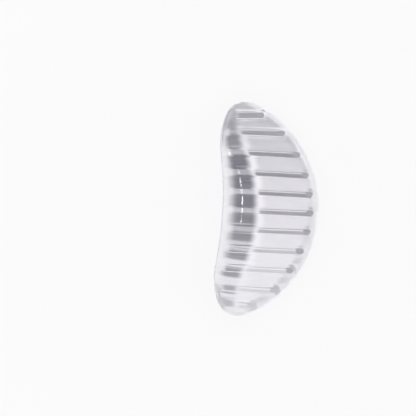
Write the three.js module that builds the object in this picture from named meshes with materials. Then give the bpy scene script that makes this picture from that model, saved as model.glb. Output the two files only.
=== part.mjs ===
// Clear silicone arch support: a crescent pad that thickens from a thin convex edge to a rounded crest
// beside its concave edge. Round-ended grooves cross the top inside a plain rim, and the base is flat.
// Millimetres, +Z up. X runs from the concave side to the convex side, Y from tip to tip.
import * as THREE from "three";
import { mergeVertices } from "three/addons/utils/BufferGeometryUtils.js";

// Outline, seen from above: a convex arc, a round tip at each end, a lobe beside each tip, a hollow waist
const LENGTH = 90;
const WIDTH = 42.5;
const CONVEX_RADIUS = 48.6;
const TIP_RADIUS = 9.2;
const LOBE_RADIUS = 33;
const WAIST_DEPTH = 2.2;

// Thickness
const CONVEX_EDGE_HEIGHT = 2.4; // where the flank would meet the convex edge, were the rim not rounded
const CONCAVE_EDGE_HEIGHT = 3; // the same for the shoulder at the concave edge
const FLANK_SLOPE = 0.38; // rise of the flank for each millimetre from the convex edge
const SHOULDER_HEIGHT = 12.4; // where the shoulder would level off; the crest is rounded off below it
const SHOULDER_SPAN = 14; // from the concave edge to where the shoulder levels off
const SHOULDER_POWER = 1.8; // how full the shoulder is; 2 would be a quarter of an ellipse
const CREST_BLEND = 4; // how far apart in height flank and shoulder start to run into each other
const RIM = 1.3; // plain rounded border around the grooved field
const BASE_ROUND = 0.4; // bottom edge

// Grooves, which lie a little nearer one tip than the other
const GROOVE_CENTRES = [-40.3, -33.4, -24.9, -16.7, -8.5, -0.6, 7.1, 15.1, 23.5, 32.1, 39.3];
const GROOVE_HALF_WIDTH = 1.4;
const GROOVE_DEPTH = 0.8;
const GROOVE_CLEARANCE = 0.3; // from a groove's end to the rim
const GROOVE_DROOP = 1.3; // how far a groove near a tip bends towards the middle at its concave end
const DROOP_Y = 39.6; // where a row bends most

// Facets
const BASE_ROUND_STEPS = 2;
const RIM_STEPS = 6;
const MID_COLUMNS = 16;
const GROOVE_END_COLUMNS = [0, 0.12, 0.32, 0.62]; // from a groove's end, in half widths
const GROOVE_ROWS = [-1, -0.9, -0.7, -0.35, 0.35, 0.7, 0.9, 1]; // across a groove, in half widths
const TIP_ROWS = 5;
const SAME_POINT = 1e-3;

// Centres of the outline's arcs at the tip with y above 0, each arc tangent to the next
const convexX = WIDTH / 2 - CONVEX_RADIUS;
const tipY = LENGTH / 2 - TIP_RADIUS;
const tipX = convexX + Math.sqrt((CONVEX_RADIUS - TIP_RADIUS) ** 2 - tipY ** 2);
const lobeX = LOBE_RADIUS - WIDTH / 2;
const lobeY = tipY - Math.sqrt((LOBE_RADIUS - TIP_RADIUS) ** 2 - (tipX - lobeX) ** 2);
const waistRadius =
  ((LOBE_RADIUS - WAIST_DEPTH) ** 2 + lobeY ** 2 - LOBE_RADIUS ** 2) / (2 * WAIST_DEPTH);
const waistX = WAIST_DEPTH - WIDTH / 2 - waistRadius;

// Where neighbouring arcs touch, as the sine of that direction's angle above X
const convexMeetsTip = tipY / (CONVEX_RADIUS - TIP_RADIUS);
const lobeMeetsTip = (tipY - lobeY) / (LOBE_RADIUS - TIP_RADIUS);
const lobeMeetsWaist = -lobeY / (waistRadius + LOBE_RADIUS);

// The point of an arc at height y on one side of its centre, and the way out of the pad there.
function arcPoint(centreX, centreY, radius, y, side, outwards = 1) {
  const rise = (y - centreY) / radius;
  const run = side * Math.sqrt(Math.max(0, 1 - rise * rise));
  return { x: centreX + radius * run, y, outX: outwards * run, outY: outwards * rise };
}

// The outline drawn in by inset, where it passes y on one side: 1 is the convex side, -1 the concave.
function edgePoint(side, y, inset) {
  const up = Math.abs(y);
  const tip = TIP_RADIUS - inset;
  const lobe = LOBE_RADIUS - inset;
  let point;
  if (up > tipY + tip * (side > 0 ? convexMeetsTip : lobeMeetsTip)) {
    point = arcPoint(tipX, tipY, tip, up, side);
  } else if (side > 0) {
    point = arcPoint(convexX, 0, CONVEX_RADIUS - inset, up, 1);
  } else if (up > lobeY + lobe * lobeMeetsWaist) {
    point = arcPoint(lobeX, lobeY, lobe, up, -1);
  } else {
    point = arcPoint(waistX, 0, waistRadius + inset, up, 1, -1);
  }
  return y < 0 ? { ...point, y, outY: -point.outY } : point;
}

function fromConvexEdge(x, y) {
  return CONVEX_RADIUS - Math.hypot(x - convexX, y);
}

function fromConcaveEdge(x, y) {
  const up = Math.abs(y);
  const besideLobe = up * (lobeX - waistX) > lobeY * (x - waistX);
  if (besideLobe) return LOBE_RADIUS - Math.hypot(x - lobeX, up - lobeY);
  return Math.hypot(x - waistX, y) - waistRadius;
}

function smoothMin(a, b, blend) {
  const overlap = Math.max(0, blend - Math.abs(a - b)) / blend;
  return Math.min(a, b) - (overlap * overlap * blend) / 4;
}

// The top without its grooves and its rounded rim: an even flank, and a round shoulder at the concave edge.
function plainHeight(x, y) {
  const flank = CONVEX_EDGE_HEIGHT + FLANK_SLOPE * fromConvexEdge(x, y);
  const toLevel = 1 - Math.min(1, fromConcaveEdge(x, y) / SHOULDER_SPAN);
  const round = (1 - toLevel ** SHOULDER_POWER) ** (1 / SHOULDER_POWER);
  const shoulder = CONCAVE_EDGE_HEIGHT + (SHOULDER_HEIGHT - CONCAVE_EDGE_HEIGHT) * round;
  return smoothMin(flank, shoulder, CREST_BLEND);
}

// How far a row bends towards the middle of the pad at its concave end.
const lastRow = LENGTH / 2 - RIM;
function droop(y) {
  const up = Math.abs(y);
  const share = up < DROOP_Y ? (up / DROOP_Y) ** 3 : (lastRow - up) / (lastRow - DROOP_Y);
  return Math.sign(y) * GROOVE_DROOP * share;
}

// A groove ends where the side of its round end that is nearer the tip comes up to the rim.
function groove(y) {
  const outer = Math.abs(y) + GROOVE_HALF_WIDTH * Math.SQRT1_2;
  const concaveSide = [Math.abs(y), outer].map((up) => edgePoint(-1, up - droop(up), RIM).x);
  const start = Math.max(...concaveSide) + GROOVE_CLEARANCE;
  return { y, start, end: edgePoint(1, outer, RIM).x - GROOVE_CLEARANCE };
}

// A groove has an even floor, steep sides and round ends.
function grooveDepth({ y, start, end }, rowY, x) {
  const beyondStart = Math.max(0, start + GROOVE_HALF_WIDTH - x);
  const beyondEnd = Math.max(0, x - end + GROOVE_HALF_WIDTH);
  const share = Math.hypot(rowY - y, beyondStart, beyondEnd) / GROOVE_HALF_WIDTH;
  return GROOVE_DEPTH * Math.sqrt(Math.max(0, 1 - share ** 4));
}

// Rows across the pad: several over each groove, one between two grooves, and more towards each tip.
function padRows() {
  const grooves = GROOVE_CENTRES.map(groove);
  const rows = [];
  grooves.forEach((cut, i) => {
    for (const share of GROOVE_ROWS) rows.push({ y: cut.y + share * GROOVE_HALF_WIDTH, cut });
    if (i > 0) rows.push({ y: (cut.y + grooves[i - 1].y) / 2 });
  });
  for (const end of [rows[0].y, rows.at(-1).y]) {
    for (let i = 1; i <= TIP_ROWS; i++) {
      const share = Math.sin((Math.PI / 2) * (i / TIP_ROWS));
      rows.push({ y: end + (Math.sign(end) * lastRow - end) * share });
    }
  }
  return rows.sort((a, b) => a.y - b.y);
}

// One side of a row, from the base out around its bottom edge and up the rounded rim.
function rimPoints(side, y) {
  const inner = edgePoint(side, y, RIM);
  const pointAt = (inset) => {
    const out = RIM - inset;
    return { x: inner.x + inner.outX * out, y: inner.y + inner.outY * out };
  };
  const points = [];
  for (let i = 0; i <= BASE_ROUND_STEPS; i++) {
    const angle = (Math.PI / 2) * (i / BASE_ROUND_STEPS);
    const z = BASE_ROUND * (1 - Math.cos(angle));
    points.push({ ...pointAt(BASE_ROUND * (1 - Math.sin(angle))), z });
  }
  for (let i = 1; i <= RIM_STEPS; i++) {
    const angle = (Math.PI / 2) * (i / RIM_STEPS);
    const { x, y: at } = pointAt(RIM * (1 - Math.cos(angle)));
    points.push({ x, y: at, z: BASE_ROUND + (plainHeight(x, at) - BASE_ROUND) * Math.sin(angle) });
  }
  return points;
}

// The field of one row between its two rims, with columns close together at the ends of a groove.
function fieldPoints({ y: rowY, cut }, from, to) {
  const length = to.x - from.x;
  const gap = Math.min(GROOVE_CLEARANCE, length / 8);
  const start = cut ? cut.start : from.x + gap;
  const end = cut ? cut.end : to.x - gap;
  const cap = Math.min(GROOVE_HALF_WIDTH, (end - start) / 4);
  const columns = GROOVE_END_COLUMNS.map((share) => start + share * cap);
  for (let i = 0; i <= MID_COLUMNS; i++) {
    columns.push(start + cap + (end - start - 2 * cap) * (i / MID_COLUMNS));
  }
  for (const share of GROOVE_END_COLUMNS.toReversed()) columns.push(end - share * cap);
  return columns.map((x) => {
    const toConcave = length > SAME_POINT ? (to.x - x) / length : 0;
    const y = to.y + (from.y - to.y) * toConcave ** 2;
    return { x, y, z: plainHeight(x, y) - (cut ? grooveDepth(cut, rowY, x) : 0) };
  });
}

// One closed section of the pad: up the concave rim, across the field and down the convex rim.
function sectionPoints(row) {
  const concaveRim = rimPoints(-1, row.y - droop(row.y));
  const convexRim = rimPoints(1, row.y);
  const field = fieldPoints(row, concaveRim.at(-1), convexRim.at(-1));
  return [...concaveRim, ...field, ...convexRim.toReversed()];
}

// Skins the sections, and leaves out the faces that shrink to nothing where a tip closes.
function padGeometry() {
  const sections = padRows().map(sectionPoints);
  const count = sections[0].length;
  const faces = [];
  for (let i = 0; i + 1 < sections.length; i++) {
    for (let j = 0; j < count; j++) {
      const next = (j + 1) % count;
      const [a, b] = [i * count + j, i * count + next];
      const [c, d] = [b + count, a + count];
      faces.push([a, b, c], [a, c, d]);
    }
  }
  const skin = new THREE.BufferGeometry();
  const positions = sections.flat().flatMap(({ x, y, z }) => [x, y, z]);
  skin.setAttribute("position", new THREE.Float32BufferAttribute(positions, 3));
  skin.setIndex(faces.flat());
  const geometry = mergeVertices(skin, SAME_POINT);
  const merged = faces.map((_, i) => Array.from(geometry.index.array.slice(3 * i, 3 * i + 3)));
  geometry.setIndex(merged.filter((corners) => new Set(corners).size === 3).flat());
  geometry.computeVertexNormals();
  return geometry;
}

const clearSilicone = new THREE.MeshStandardMaterial({
  color: 0xe6e5ea,
  roughness: 0.12,
  metalness: 0,
  transparent: true,
  opacity: 0.4,
});

const archSupport = new THREE.Group();
const pad = new THREE.Mesh(padGeometry(), clearSilicone);
pad.name = "arch_pad";
archSupport.add(pad);

export default archSupport;
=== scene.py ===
import math

import bmesh
import bpy
import numpy as np
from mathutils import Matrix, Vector


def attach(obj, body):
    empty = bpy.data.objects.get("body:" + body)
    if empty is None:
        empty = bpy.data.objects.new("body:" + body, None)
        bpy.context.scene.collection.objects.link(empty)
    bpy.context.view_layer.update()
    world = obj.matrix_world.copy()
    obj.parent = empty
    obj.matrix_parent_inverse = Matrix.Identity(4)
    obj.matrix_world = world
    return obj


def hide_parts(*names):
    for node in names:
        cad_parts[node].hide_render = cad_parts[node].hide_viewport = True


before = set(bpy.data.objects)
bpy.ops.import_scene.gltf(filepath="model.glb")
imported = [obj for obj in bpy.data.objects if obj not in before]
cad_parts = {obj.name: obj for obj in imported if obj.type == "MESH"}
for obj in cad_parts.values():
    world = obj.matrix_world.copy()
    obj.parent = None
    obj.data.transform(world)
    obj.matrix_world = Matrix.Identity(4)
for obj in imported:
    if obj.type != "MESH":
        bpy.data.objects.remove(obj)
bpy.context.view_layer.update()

mm = 0.001  # the sizes below are in millimetres, the scene is in metres
print("frame loaded:", sorted(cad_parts))

# crescent gel pad: x from the concave side to the convex side, y from tip to tip
pad = {
    "length": 90.0,
    "width": 42.5,
    "convexRadius": 48.6,
    "tipRadius": 9.2,
    "lobeRadius": 33.0,
    "waistDepth": 2.2,
    "convexEdgeHeight": 2.4,
    "concaveEdgeHeight": 3.0,
    "flankSlope": 0.38,
    "shoulderHeight": 12.4,   # where the shoulder would level off
    "shoulderSpan": 14.0,
    "shoulderPower": 1.8,     # 2 would be a quarter of an ellipse
    "crestBlend": 4.0,
    "rim": 1.3,               # plain rounded border around the grooves
    "baseRound": 0.4,
    "baseInset": 0.6,         # the base's outermost line of points, in from the outline
    "grooveCentres": (-40.3, -33.4, -24.9, -16.7, -8.5, -0.6, 7.1, 15.1, 23.5, 32.1, 39.3),
    "grooveHalfWidth": 1.5,
    "grooveDepth": 0.8,
    "grooveClearance": 0.3,   # from a groove's ends to the rim
    "grooveEdge": 0.25,       # how soft the lips of a groove are
    "grooveSquareness": 10,   # how steep its sides are, 2 would be round
    "grooveRunOut": 3.5,      # it starts shallow at the concave end, over this length
    "grooveDroop": 1.3,       # how far a row bends towards the middle at its concave end
    "droopY": 39.6,           # where a row bends most
    "droopPower": 3,
    "grooveRows": 21,         # rows over one groove, lips included
    "bandRows": 9,            # rows between two grooves
    "tipRows": 16,
    "rimSteps": 14,
    "baseRoundSteps": 5,
    "capColumns": 9,          # columns over the round end of a groove
    "midColumns": 84,
    "baseColumns": 92,
    "shortestRow": 1e-6,
    "samePoint": 0.002,       # points this close become one
    "shortestEdge": 0.001,
}


# 0 before low and 1 past high, eased between them; low may be the greater
def rise(value, low, high):
    t = np.clip((value - low) / (high - low), 0, 1)
    return t * t * (3 - 2 * t)


def between(value, low, high, soft):
    return rise(value, low - soft, low + soft) * rise(value, high + soft, high - soft)


# some share of the way from one value to another
def mix(value, other, share):
    return value + (other - value) * share


def outlineArcs(p):
    convexX = p["width"] / 2 - p["convexRadius"]
    tipY = p["length"] / 2 - p["tipRadius"]
    tipX = convexX + math.sqrt((p["convexRadius"] - p["tipRadius"]) ** 2 - tipY ** 2)
    lobeX = p["lobeRadius"] - p["width"] / 2
    lobeY = tipY - math.sqrt((p["lobeRadius"] - p["tipRadius"]) ** 2 - (tipX - lobeX) ** 2)
    inner = p["lobeRadius"] - p["waistDepth"]
    waistRadius = (inner ** 2 + lobeY ** 2 - p["lobeRadius"] ** 2) / (2 * p["waistDepth"])
    return {
        "convexX": convexX, "tipX": tipX, "tipY": tipY, "lobeX": lobeX, "lobeY": lobeY,
        "waistRadius": waistRadius,
        "waistX": p["waistDepth"] - p["width"] / 2 - waistRadius,
        # where neighbouring arcs touch, as the sine of that direction's angle above x
        "convexMeetsTip": tipY / (p["convexRadius"] - p["tipRadius"]),
        "lobeMeetsTip": (tipY - lobeY) / (p["lobeRadius"] - p["tipRadius"]),
        "lobeMeetsWaist": -lobeY / (waistRadius + p["lobeRadius"]),
    }


arcs = outlineArcs(pad)


def arcPoint(centreX, centreY, radius, y, side, outwards=1):
    up = (y - centreY) / radius
    across = side * math.sqrt(max(0.0, 1 - up * up))
    return np.array([centreX + radius * across, y]), np.array([outwards * across, outwards * up])


# the outline drawn in by inset, where it passes y: its point and the way out of the pad there
def edgePoint(side, y, inset):
    up = abs(y)
    tip, lobe = pad["tipRadius"] - inset, pad["lobeRadius"] - inset
    meets = arcs["convexMeetsTip"] if side > 0 else arcs["lobeMeetsTip"]
    if up > arcs["tipY"] + tip * meets:
        point, out = arcPoint(arcs["tipX"], arcs["tipY"], tip, up, side)
    elif side > 0:
        point, out = arcPoint(arcs["convexX"], 0, pad["convexRadius"] - inset, up, 1)
    elif up > arcs["lobeY"] + lobe * arcs["lobeMeetsWaist"]:
        point, out = arcPoint(arcs["lobeX"], arcs["lobeY"], lobe, up, -1)
    else:
        point, out = arcPoint(arcs["waistX"], 0, arcs["waistRadius"] + inset, up, 1, -1)
    flip = np.array([1, -1 if y < 0 else 1])
    return point * flip, out * flip


def fromConvexEdge(x, y):
    return pad["convexRadius"] - np.hypot(x - arcs["convexX"], y)


def fromConcaveEdge(x, y):
    up = np.abs(y)
    besideLobe = up * (arcs["lobeX"] - arcs["waistX"]) > arcs["lobeY"] * (x - arcs["waistX"])
    lobe = pad["lobeRadius"] - np.hypot(x - arcs["lobeX"], up - arcs["lobeY"])
    waist = np.hypot(x - arcs["waistX"], y) - arcs["waistRadius"]
    return np.where(besideLobe, lobe, waist)


# the top without grooves and rounded rim: an even flank, and a round shoulder at the concave edge
def plainHeight(x, y):
    slope = pad["convexEdgeHeight"] + pad["flankSlope"] * fromConvexEdge(x, y)
    toLevel = 1 - np.clip(fromConcaveEdge(x, y) / pad["shoulderSpan"], 0, 1)
    low, power, blend = pad["concaveEdgeHeight"], pad["shoulderPower"], pad["crestBlend"]
    shoulder = low + (pad["shoulderHeight"] - low) * (1 - toLevel ** power) ** (1 / power)
    overlap = np.clip(blend - np.abs(slope - shoulder), 0, None) / blend
    return np.minimum(slope, shoulder) - overlap ** 2 * blend / 4


lastRow = pad["length"] / 2 - pad["rim"]


# how far a row bends towards the middle of the pad at its concave end
def droop(y):
    up, end = abs(y), pad["droopY"]
    share = (up / end) ** pad["droopPower"] if up < end else (lastRow - up) / (lastRow - end)
    return math.copysign(pad["grooveDroop"] * share, y)


# a groove ends where the side of its round end that is nearer the tip comes up to the rim
def makeGrooves():
    found = []
    clear = pad["grooveClearance"]
    for y in pad["grooveCentres"]:
        outer = abs(y) + pad["grooveHalfWidth"] * math.sqrt(0.5)     # halfway round the end
        start = max(edgePoint(-1, up - droop(up), pad["rim"])[0][0] for up in (abs(y), outer))
        end = edgePoint(1, outer, pad["rim"])[0][0]
        found.append({"y": y, "start": start + clear, "end": end - clear})
    return found


grooves = makeGrooves()


# how far x lies beyond the middles of a groove's round ends
def beyondEnds(g, x):
    half = pad["grooveHalfWidth"]
    return np.maximum(0, np.maximum(g["start"] + half - x, x - g["end"] + half))


# a groove with an even floor, steep sides and soft lips
def grooveDepth(rowY, x):
    half, edge = pad["grooveHalfWidth"], pad["grooveEdge"]
    depth = np.zeros_like(x)
    for g in grooves:
        if abs(rowY - g["y"]) > half + edge:
            continue
        inside = half - np.hypot(rowY - g["y"], beyondEnds(g, x))       # in from the groove's side
        soft = np.where(inside > edge, inside, (np.clip(inside + edge, 0, None) ** 2) / (4 * edge))
        share = np.clip(1 - soft / half, 0, 1)
        full = pad["grooveDepth"] * rise(x - g["start"], 0, pad["grooveRunOut"])
        depth = np.maximum(depth, full * np.sqrt(1 - share ** pad["grooveSquareness"]))
    return depth


def padRows():
    reach = pad["grooveHalfWidth"] + pad["grooveEdge"]
    rows = []
    for i, y in enumerate(pad["grooveCentres"]):
        if i:
            rows += list(np.linspace(rows[-1], y - reach, pad["bandRows"] + 2)[1:-1])
        rows += list(y + reach * np.linspace(-1, 1, pad["grooveRows"]))
    for sign, first in ((-1, rows[0]), (1, rows[-1])):
        share = np.sin(np.pi / 2 * np.arange(1, pad["tipRows"] + 1) / pad["tipRows"])
        rows += list(first + (sign * lastRow - first) * share)
    return sorted(rows)


gel = {
    "ior": 1.41,
    "roughness": 0.03,
    "roughnessChange": 0.02,
    "tint": (0.93, 0.92, 0.985),
    "absorption": 5.0,
    "leastLight": (0.04, 0.038, 0.075),    # what passes to the floor at its darkest
    "clearLight": (0.99, 0.984, 1.0),
    "dragScale": (90.0, 1500.0, 90.0),
    "dragDetail": 2.0,
    "dragShare": 0.5,                      # of the bump, the rest is cloud
    "dragMean": 0.5,
    "paintedStreaks": 0.25,
    "cloudScale": 260.0,
    "cloudDetail": 1.0,
    "bumpStrength": 0.025,
    "bumpHeight": 0.00002,                 # in metres
    "viewSteps": 400,                      # samples along a row for what an eye above sees
}


# where the gel shows a point under the pad to an eye straight above, along its row
def shownAt(x, y):
    if np.ptp(x) < pad["shortestRow"]:     # the rows at the very tips are points
        return x
    order = np.argsort(x)
    top = np.linspace(x.min(), x.max(), gel["viewSteps"])
    height = plainHeight(top, np.interp(top, x[order], y[order]))
    slope = np.arctan(np.gradient(height, top))
    bent = slope - np.arcsin(np.sin(slope) / gel["ior"])
    return np.interp(x, np.maximum.accumulate(top + height * np.tan(bent)), top)


# The next dictionaries hold the painted light and shade on the floor under the pad, which stands in for
# the light the gel bends, 1 being as much as beside it.
# A pair is where something sets in and where it is full, a triple its start, its end and their softness.
flank = {
    "level": 0.825,
    "upper": 0.585,              # towards the tip with y above 0
    "upperRows": (0, 42),
    "lower": 0.895,              # towards the other tip
    "lowerRows": (-2, -22),
    "tipGain": 0.07,
    "tipRows": (-34, -40),
    "bright": 1.0,               # painted light: the stripe beside the crest, and pale lines elsewhere
    "stripe": (4.6, 1.6),        # past the end of the crest
    "stripeRows": (38, 20),
    "lean": (-1, 3),             # where the flank starts to show things nearer the tips
}
rim = {
    "grey": (2.8, 4.2, 0.5),     # in from the convex edge
    "greyLevel": 0.9,            # as a share of the flank's
    "greyStrength": 0.6,
    "edge": (2.4, 1.6),
    "edgeLevel": 0.855,
    "white": (1.5, 2.0, 0.2),
    "whiteRows": (10, 28, 5),
    "spot": (1.6, 4.4, 0.9),     # painted soft grey spots of shade between the lower grooves
    "spotRows": (-6.0, -2.4, 0.8),
    "spotLevel": 0.77,
    "concaveLine": (3.1, 2.7),   # a thin dark line of painted shade, in from the concave edge
    "concaveRows": (42, 34),
    "concaveLevel": 0.5,
}
crest = {
    "reach": 14.3,               # it ends this far from the concave edge at its middle
    "taper": 0.0058,             # and nearer to it towards the tips
    "middle": -3.5,
    "end": (1.7, -1.9),
    "fade": (6.8, 1.0),          # it fades towards the concave edge
    "leastFade": 0.45,
    "edgeLevel": 0.95,
    "gap": 0.56,                 # where a groove crosses it
    "gapLower": 0.85,
    "gapLowerRows": (-8, -22),
    "gapUpper": 0.46,
    "gapUpperRows": (8, 16),
    "lastRib": 45.4,             # as if one more groove lay past the last
    "patch": 0.178,              # painted dark patch of shade on each rib
    "patchUpper": 0.2,
    "patchUpperRows": (20, 38),
    "patchLower": 0.15,
    "patchLowerRows": (8, -22),
    "patchTip": 0.2,
    "patchTipRows": (-28, -38),
    "patchBelow": 3.4,           # from a groove's middle to the patch below it
    "mostBelow": 3.8,
    "belowSlope": 0.062,
    "tipSlope": 0.1,
    "tipSlopeFrom": -21,
    "patchHalf": 2.25,
    "patchGrowth": 0.2,
    "growthMiddle": 3,
    "growthSpan": 6,
    "patchTop": (1.0, -1.2),
    "patchBottom": (-0.3, 0.6),
    "thin": (0.4, 0.8, 0.1),
    "thinLevel": 0.45,
}
lines = {
    "reach": 5.0,                # a groove tells this far from its middle
    "fromCrest": (0.4, 2.2),
    "fromEnd": (0.4, 1.0),
    "dark": (-2.0, 0.34, 0.1),   # painted: a broad dark line of shade, a white one of light and a thin dark one
    "darkNarrowing": 0.4,
    "darkLevel": 0.32,
    "darkLeast": 0.3,
    "darkRows": (-34, 10),
    "white": (0.42, 0.7, 0.08),
    "thin": (0.82, 1.5, 0.08),
    "thinWidening": 0.14,
    "thinRows": (-4, 12),
    "thinLevel": 0.34,
    "thinFade": 0.5,
    "lippedFrom": 30,            # the grooves past this y get painted shade, with painted pale highlights at their lips
    "lipped": (-1.4, 0.55, 0.1),
    "lippedWidening": 0.55,
    "lippedRows": (33, 38),
    "lippedLevel": 0.37,
    "upperLip": (1.65, 2.0, 0.1),
    "lowerLip": (1.55, 2.4, 0.1),
    "lipFromCrest": (-1.5, 1),
}
grooveEnd = {
    "radius": 1.6,               # painted dark spot of shade at the convex end of a groove
    "lowerGrowth": 0.25,
    "outwards": 1.9,             # how far it moves out towards the lower tip
    "outwardsRows": (-14, -38),
    "lift": 0.7,
    "liftRows": (22, 12),
    "level": 0.4,
    "lowerGain": 0.25,
    "gainRows": (-22, -42),
    "edge": (0.3, -0.1),
}


# the places under one row, as an eye straight above sees them through the gel
def placesUnder(rowY, x, y):
    x = shownAt(x, y)
    fromConcave = fromConcaveEdge(x, y)
    reach = crest["reach"] - crest["taper"] * (y - crest["middle"]) ** 2
    past = fromConcave - reach
    # the flank slopes towards the convex edge, so it shows what is under it a little nearer the tips
    tilt = math.atan(pad["flankSlope"])
    bend = math.tan(tilt - math.asin(math.sin(tilt) / gel["ior"]))
    lean = plainHeight(x, y) * bend * y / pad["convexRadius"] * rise(past, *flank["lean"])
    return {
        "x": x, "y": y, "rowY": rowY, "shownY": rowY + lean,
        "fromConcave": fromConcave, "fromConvex": fromConvexEdge(x, y), "reach": reach, "past": past,
        "lower": float(rise(rowY, *flank["lowerRows"])),
    }


# even bands of painted light down the flank, dimmer towards one tip
def bandLight(at):
    level = flank["level"]
    upper = (flank["upper"] - level) * rise(at["rowY"], *flank["upperRows"])
    lower = (flank["lower"] - level) * at["lower"]
    return level + upper + lower + flank["tipGain"] * rise(at["rowY"], *flank["tipRows"])


# painted light and shade: a bright stripe beside the crest, and on the thin convex rim a grey line and a
# paler edge
def flankLight(at, band):
    light = np.full_like(at["x"], band)
    stripe = rise(at["past"], *flank["stripe"]) * rise(np.abs(at["y"]), *flank["stripeRows"])
    light = mix(light, flank["bright"], stripe)
    grey = between(at["fromConvex"], *rim["grey"]) * rim["greyStrength"]
    light = mix(light, band * rim["greyLevel"], grey)
    light = mix(light, rim["edgeLevel"], rise(at["fromConvex"], *rim["edge"]))
    white = between(at["fromConvex"], *rim["white"]) * between(at["y"], *rim["whiteRows"])
    return mix(light, flank["bright"], white)


# painted shade in a groove, and painted highlights along its lips
def lippedGroove(at, g, dy, along, light):
    low, high, soft = lines["lipped"]
    high += lines["lippedWidening"] * rise(g["y"], *lines["lippedRows"])
    light = mix(light, lines["lippedLevel"], between(dy, low, high, soft) * along)
    outside = np.hypot(dy, beyondEnds(g, at["x"]))
    lip = np.where(dy > 0, between(outside, *lines["upperLip"]), between(outside, *lines["lowerLip"]))
    return mix(light, flank["bright"], lip * rise(at["past"], *lines["lipFromCrest"]))


# painted lines along a groove: a thin dark one and a broad dark one of shade, and a white one of light
def linedGroove(at, dy, along, light):
    low, high, soft = lines["thin"]
    low = low - lines["thinWidening"] * rise(at["rowY"], *lines["thinRows"])
    thin = between(dy, low, high, soft) * (1 - lines["thinFade"] * at["lower"])
    light = mix(light, lines["thinLevel"], thin * along)
    light = mix(light, flank["bright"], between(dy, *lines["white"]) * along)
    low, high, soft = lines["dark"]
    dark = between(dy, low + lines["darkNarrowing"] * at["lower"], high, soft)
    strength = mix(lines["darkLeast"], 1, rise(at["rowY"], *lines["darkRows"]))
    return mix(light, lines["darkLevel"], dark * strength * along)


# the painted lines of light and shade along one groove, the painted dark spot at its convex end and the
# painted grey on the rim below it
def grooveLight(at, g, band, light):
    dy = at["shownY"] - g["y"]
    along = rise(at["past"], *lines["fromCrest"]) * rise(g["end"] - at["x"], *lines["fromEnd"])
    if g["y"] > lines["lippedFrom"]:
        light = lippedGroove(at, g, dy, along, light)
    else:
        light = linedGroove(at, dy, along, light)
    radius = grooveEnd["radius"] + grooveEnd["lowerGrowth"] * at["lower"]
    middle = g["end"] - radius + grooveEnd["outwards"] * rise(g["y"], *grooveEnd["outwardsRows"])
    lift = grooveEnd["lift"] * rise(g["y"], *grooveEnd["liftRows"])
    away = np.hypot(at["x"] - middle, dy - lift)
    level = grooveEnd["level"] + grooveEnd["lowerGain"] * rise(g["y"], *grooveEnd["gainRows"])
    light = mix(light, level, rise(away - radius, *grooveEnd["edge"]))
    grey = between(at["fromConvex"], *rim["spot"]) * between(dy, *rim["spotRows"]) * at["lower"]
    return mix(light, band * rim["spotLevel"], grey)


# the crest: a painted dark patch of shade on each rib, lighter where the grooves cross it
def crestLight(rowY):
    light = crest["gap"]
    light += (crest["gapLower"] - crest["gap"]) * rise(rowY, *crest["gapLowerRows"])
    light += (crest["gapUpper"] - crest["gap"]) * rise(rowY, *crest["gapUpperRows"])
    for y in (*pad["grooveCentres"], crest["lastRib"]):
        below = crest["patchBelow"] + crest["belowSlope"] * y
        below += crest["tipSlope"] * min(0, y - crest["tipSlopeFrom"])
        centre = y - min(crest["mostBelow"], below)
        growth = math.tanh((y - crest["growthMiddle"]) / crest["growthSpan"])
        half = crest["patchHalf"] + crest["patchGrowth"] * growth
        level = crest["patch"] + crest["patchUpper"] * rise(centre, *crest["patchUpperRows"])
        level += crest["patchLower"] * rise(centre, *crest["patchLowerRows"])
        level += crest["patchTip"] * rise(centre, *crest["patchTipRows"])
        top = rise(rowY - centre - half, *crest["patchTop"])
        bottom = rise(rowY - centre + half, *crest["patchBottom"])
        light = mix(light, level, top * bottom)
        light = mix(light, crest["thinLevel"], between(rowY - y, *crest["thin"]))
    return light


# the painted light on the floor under one row, 1 being as much as beside it
def lightUnder(rowY, x, y):
    at = placesUnder(rowY, x, y)
    band = bandLight(at)
    light = flankLight(at, band)
    for g in grooves:
        if abs(rowY - g["y"]) <= lines["reach"]:
            light = grooveLight(at, g, band, light)
    light = mix(light, crestLight(rowY), rise(at["past"], *crest["end"]))
    fade = np.clip(at["reach"] / crest["reach"], crest["leastFade"], 1)
    light = mix(light, crest["edgeLevel"], rise(at["fromConcave"] / fade, *crest["fade"]))
    line = rise(fromConcaveEdge(x, y), *rim["concaveLine"]) * rise(np.abs(y), *rim["concaveRows"])
    return mix(light, rim["concaveLevel"], line)


# one side of a row: from the base out around its bottom edge and up the rounded rim
def rimPoints(side, y):
    inner, out = edgePoint(side, y, pad["rim"])
    low = pad["baseRound"]
    turn = np.pi / 2 * np.linspace(0, 1, pad["baseRoundSteps"] + 1)
    insets = [pad["baseInset"]] + list(low * (1 - np.sin(turn)))
    heights = [0.0] + list(low * (1 - np.cos(turn)))
    points = []
    for inset, z in zip(insets, heights):
        x, at = inner + out * (pad["rim"] - inset)
        points.append((x, at, z))
    for angle in np.pi / 2 * np.arange(1, pad["rimSteps"] + 1) / pad["rimSteps"]:
        x, at = inner + out * pad["rim"] * math.cos(angle)
        full = float(plainHeight(np.array(x), np.array(at)))
        points.append((x, at, low + (full - low) * math.sin(angle)))
    return np.array(points)


# the grooved field of a row, with columns close together over the ends of the grooves
def fieldPoints(rowY, first, last):
    length = last[0] - first[0]
    cap = min(2 * pad["grooveHalfWidth"], length / 4)
    near = cap * np.arange(1, pad["capColumns"] + 1) / pad["capColumns"]
    mid = np.linspace(cap, length - cap, pad["midColumns"] + 2)[1:-1]
    x = first[0] + np.concatenate([near, mid, length - near[::-1]])
    toConcave = (last[0] - x) / max(length, pad["shortestRow"])
    y = mix(last[1], first[1], toConcave ** 2)
    return np.stack([x, y, plainHeight(x, y) - grooveDepth(rowY, x)], axis=1)


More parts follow.
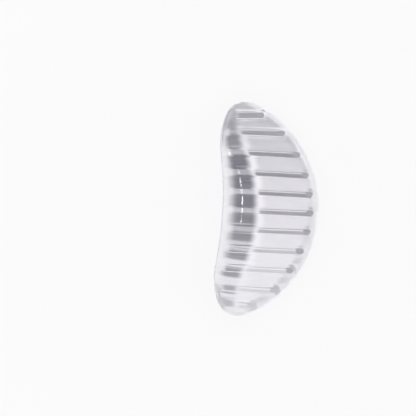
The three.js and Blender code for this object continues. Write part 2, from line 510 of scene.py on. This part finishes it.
# a closed loop of points around one row, each with how much of the light is missing under it
def sectionPoints(rowY):
    concave = rimPoints(-1, rowY - droop(rowY))
    convex = rimPoints(1, rowY)
    field = fieldPoints(rowY, concave[-1], convex[-1])
    toConcave = np.linspace(0, 1, pad["baseColumns"] + 2)[1:-1]
    x = mix(convex[0][0], concave[0][0], toConcave)
    y = mix(convex[0][1], concave[0][1], toConcave ** 2)
    base = np.stack([x, y, np.zeros_like(x)], axis=1)
    # the base carries painted shade: how much of the lamps' light it holds back from the floor under it
    dim = np.zeros(len(concave) + len(field) + len(convex) + len(base))
    dim[-len(base):] = 1 - lightUnder(rowY, x, y)
    return np.column_stack([np.concatenate([concave, field, convex[::-1], base]), dim])


def makePad():
    sections = np.stack([sectionPoints(y) for y in padRows()])
    rowCount, count = sections.shape[:2]
    faces = []
    for i in range(rowCount - 1):
        for j in range(count):
            k = (j + 1) % count
            faces.append((i * count + j, i * count + k, (i + 1) * count + k, (i + 1) * count + j))
    mesh = bpy.data.meshes.new("gelPad")
    points = sections.reshape(-1, 4)
    mesh.from_pydata((points[:, :3] * mm).tolist(), [], faces)
    dim = mesh.attributes.new("dim", "FLOAT", "POINT")
    dim.data.foreach_set("value", points[:, 3].astype(np.float32))
    shape = bmesh.new()
    shape.from_mesh(mesh)
    bmesh.ops.remove_doubles(shape, verts=shape.verts, dist=pad["samePoint"] * mm)
    bmesh.ops.dissolve_degenerate(shape, edges=shape.edges, dist=pad["shortestEdge"] * mm)
    bmesh.ops.recalc_face_normals(shape, faces=shape.faces)
    for face in shape.faces:
        face.smooth = True
    shape.to_mesh(mesh)
    shape.free()
    piece = bpy.data.objects.new("gelPad", mesh)
    bpy.context.scene.collection.objects.link(piece)
    triangles = sum(len(face.vertices) - 2 for face in mesh.polygons)
    print("pad made:", len(mesh.vertices), "vertices,", triangles, "triangles")
    return piece


# a node's socket that takes part in sums, and the one way to add a node
class Wire:
    def __init__(self, socket):
        self.socket = socket

    @staticmethod
    def make(tree, kind, settings, sockets, output=0):
        node = tree.nodes.new(kind)
        for name, value in settings.items():
            setattr(node, name, value)
        for name, value in sockets.items():
            if isinstance(value, Wire):
                tree.links.new(value.socket, node.inputs[name])
            else:
                node.inputs[name].default_value = value
        return Wire(node.outputs[output]) if node.outputs else node

    def maths(self, operation, first, second):
        tree = self.socket.id_data
        return Wire.make(tree, "ShaderNodeMath", {"operation": operation}, {0: first, 1: second})

    def __add__(self, other):
        return self.maths("ADD", self, other)

    def __mul__(self, other):
        return self.maths("MULTIPLY", self, other)

    def __sub__(self, other):
        return self.maths("SUBTRACT", self, other)

    def __rsub__(self, other):
        return self.maths("SUBTRACT", other, self)

    __radd__ = __add__
    __rmul__ = __mul__


def gelMaterial():
    mat = bpy.data.materials.new("clearGel")
    mat.use_nodes = True
    mat.use_transparent_shadow = True
    tree = mat.node_tree
    tree.nodes.clear()
    place = Wire.make(tree, "ShaderNodeTexCoord", {}, {}, "Object")
    # faint drag lines across the pad from the mould, and a soft unevenness; the drag lines also paint
    # faint streaks into the light on the floor below
    stretched = Wire.make(tree, "ShaderNodeVectorMath", {"operation": "MULTIPLY"}, {
        0: place, 1: gel["dragScale"]})
    dragAndPaintedStreaks = Wire.make(tree, "ShaderNodeTexNoise", {}, {
        "Vector": stretched, "Scale": 1.0, "Detail": gel["dragDetail"]})
    cloud = Wire.make(tree, "ShaderNodeTexNoise", {}, {
        "Vector": place, "Scale": gel["cloudScale"], "Detail": gel["cloudDetail"]})
    height = dragAndPaintedStreaks * gel["dragShare"] + cloud * (1 - gel["dragShare"])
    bump = Wire.make(tree, "ShaderNodeBump", {}, {
        "Strength": gel["bumpStrength"], "Distance": gel["bumpHeight"], "Height": height})
    body = Wire.make(tree, "ShaderNodeBsdfPrincipled", {}, {
        "Base Color": (1, 1, 1, 1), "Transmission Weight": 1.0, "IOR": gel["ior"], "Normal": bump,
        "Roughness": gel["roughness"] + cloud * gel["roughnessChange"]})
    # painted light and shade: lamps shine through to the floor, dimmed by the painted dim value on the
    # base, which stands in for the light the gel bends aside, and streaked by the drag lines
    dim = Wire.make(tree, "ShaderNodeAttribute", {"attribute_name": "dim"}, {}, "Fac")
    pale = Wire.make(tree, "ShaderNodeBsdfTransparent", {}, {"Color": (*gel["clearLight"], 1)})
    dark = Wire.make(tree, "ShaderNodeBsdfTransparent", {}, {"Color": (*gel["leastLight"], 1)})
    lampLight = Wire.make(tree, "ShaderNodeMixShader", {}, {
        0: dim + (dragAndPaintedStreaks - gel["dragMean"]) * gel["paintedStreaks"], 1: pale, 2: dark})
    toLamp = Wire.make(tree, "ShaderNodeLightPath", {}, {}, "Is Shadow Ray")
    surface = Wire.make(tree, "ShaderNodeMixShader", {}, {0: toLamp, 1: body, 2: lampLight})
    volume = Wire.make(tree, "ShaderNodeVolumeAbsorption", {}, {
        "Color": (*gel["tint"], 1), "Density": gel["absorption"]})
    Wire.make(tree, "ShaderNodeOutputMaterial", {}, {"Surface": surface, "Volume": volume})
    print("gel mixed:", len(tree.nodes), "nodes")
    return mat


gelPad = makePad()
gelPad.data.materials.append(gelMaterial())
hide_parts("arch_pad")
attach(gelPad, "root")

# sizes in metres, turns in degrees from +x towards +y, tilts in degrees from straight up
stage = {
    "floorSize": 3.0,
    "floorDrop": 0.00005,     # the pad's base lies a hair above the floor
    "floorColor": (0.9, 0.9, 0.9),
    "roomLight": 0.6,
    "distance": 1.2,
    "softBoxes": {"turns": (0, 90, 180, 270), "tilt": 62.0, "size": (1.0, 0.5), "power": 9.2},
    "key": {"turn": 175.2, "tilt": 34.0, "size": (0.14, 0.1), "power": 1.3},
    "bounces": 24,            # light runs to and fro inside the gel
}


def makeFloor():
    half = stage["floorSize"] / 2
    mesh = bpy.data.meshes.new("floor")
    corners = [(-half, -half, 0), (half, -half, 0), (half, half, 0), (-half, half, 0)]
    mesh.from_pydata(corners, [], [(0, 1, 2, 3)])
    piece = bpy.data.objects.new("floor", mesh)
    piece.location.z = -stage["floorDrop"]
    bpy.context.scene.collection.objects.link(piece)
    mat = bpy.data.materials.new("paleFloor")
    mat.use_nodes = True
    shader = mat.node_tree.nodes["Principled BSDF"]
    shader.inputs["Base Color"].default_value = (*stage["floorColor"], 1)
    shader.inputs["Roughness"].default_value = 1.0
    shader.inputs["Specular IOR Level"].default_value = 0.0
    mesh.materials.append(mat)
    return piece


def makeLight(name, box, turn, lit):
    data = bpy.data.lights.new(name, "AREA")
    data.shape = "RECTANGLE"
    data.size, data.size_y = box["size"]
    data.energy = box["power"]
    lamp = bpy.data.objects.new(name, data)
    t, a = math.radians(box["tilt"]), math.radians(turn)
    away = Vector((math.sin(t) * math.cos(a), math.sin(t) * math.sin(a), math.cos(t)))
    lamp.location = away * stage["distance"]
    lamp.rotation_mode = "QUATERNION"
    lamp.rotation_quaternion = away.to_track_quat("Z", "Y")
    bpy.context.scene.collection.objects.link(lamp)
    data.cycles.use_multiple_importance_sampling = lit is not floor     # a matt floor needs none
    receivers = bpy.data.collections.new(name + "Receivers")
    receivers.objects.link(lit)
    lamp.light_linking.receiver_collection = receivers


# a pale room that the gel shows and mirrors, and that adds no light to the floor
def makeRoom():
    world = bpy.data.worlds.new("studio")
    bpy.context.scene.world = world
    world.use_nodes = True
    world.cycles.sampling_method = "NONE"
    tree = world.node_tree
    tree.nodes.clear()
    onFloor = Wire.make(tree, "ShaderNodeLightPath", {}, {}, "Is Diffuse Ray")
    pale = Wire.make(tree, "ShaderNodeBackground", {}, {
        "Color": (1, 1, 1, 1), "Strength": stage["roomLight"]})
    dark = Wire.make(tree, "ShaderNodeBackground", {}, {"Color": (0, 0, 0, 1), "Strength": 0.0})
    walls = Wire.make(tree, "ShaderNodeMixShader", {}, {0: onFloor, 1: pale, 2: dark})
    Wire.make(tree, "ShaderNodeOutputWorld", {}, {"Surface": walls})


floor = makeFloor()
# the soft boxes light the floor alone, and the key makes the streak on the crest
for turn in stage["softBoxes"]["turns"]:
    makeLight("softBox" + str(turn), stage["softBoxes"], turn, floor)
makeLight("key", stage["key"], stage["key"]["turn"], gelPad)
makeRoom()
print("stage set:", len(bpy.data.lights), "lights")

# straight down, as the photograph looks
view = {
    "center": (-25.07, -0.34),     # where the camera's axis meets the floor, in mm
    "turn": 2.673,                 # the pad leans this much in the picture, in degrees
    "distance": 0.6,               # in metres, like the next
    "frameWidth": 0.1748,          # what the frame takes in at the floor
    "sensor": 36.0,                # in mm
    "clip": (0.01, 10),
}


def makeCamera():
    data = bpy.data.cameras.new("camera")
    data.sensor_width = view["sensor"]
    data.lens = view["sensor"] * view["distance"] / view["frameWidth"]
    data.clip_start, data.clip_end = view["clip"]
    cam = bpy.data.objects.new("camera", data)
    cam.location = (view["center"][0] * mm, view["center"][1] * mm, view["distance"])
    cam.rotation_euler = (0, 0, math.radians(view["turn"]))
    bpy.context.scene.collection.objects.link(cam)
    bpy.context.scene.camera = cam
    print("camera placed: lens", round(data.lens, 1))


makeCamera()
scene = bpy.context.scene
scene.view_settings.view_transform = "Standard"
scene.view_settings.look = "None"
scene.cycles.use_denoising = True
scene.cycles.max_bounces = stage["bounces"]
scene.cycles.transmission_bounces = stage["bounces"]
scene.cycles.glossy_bounces = stage["bounces"]
scene.cycles.caustics_refractive = False
scene.cycles.caustics_reflective = False
scene.cycles.blur_glossy = 0.0
scene.cycles.sample_clamp_indirect = 0.0

print("render set:", stage["bounces"], "bounces")
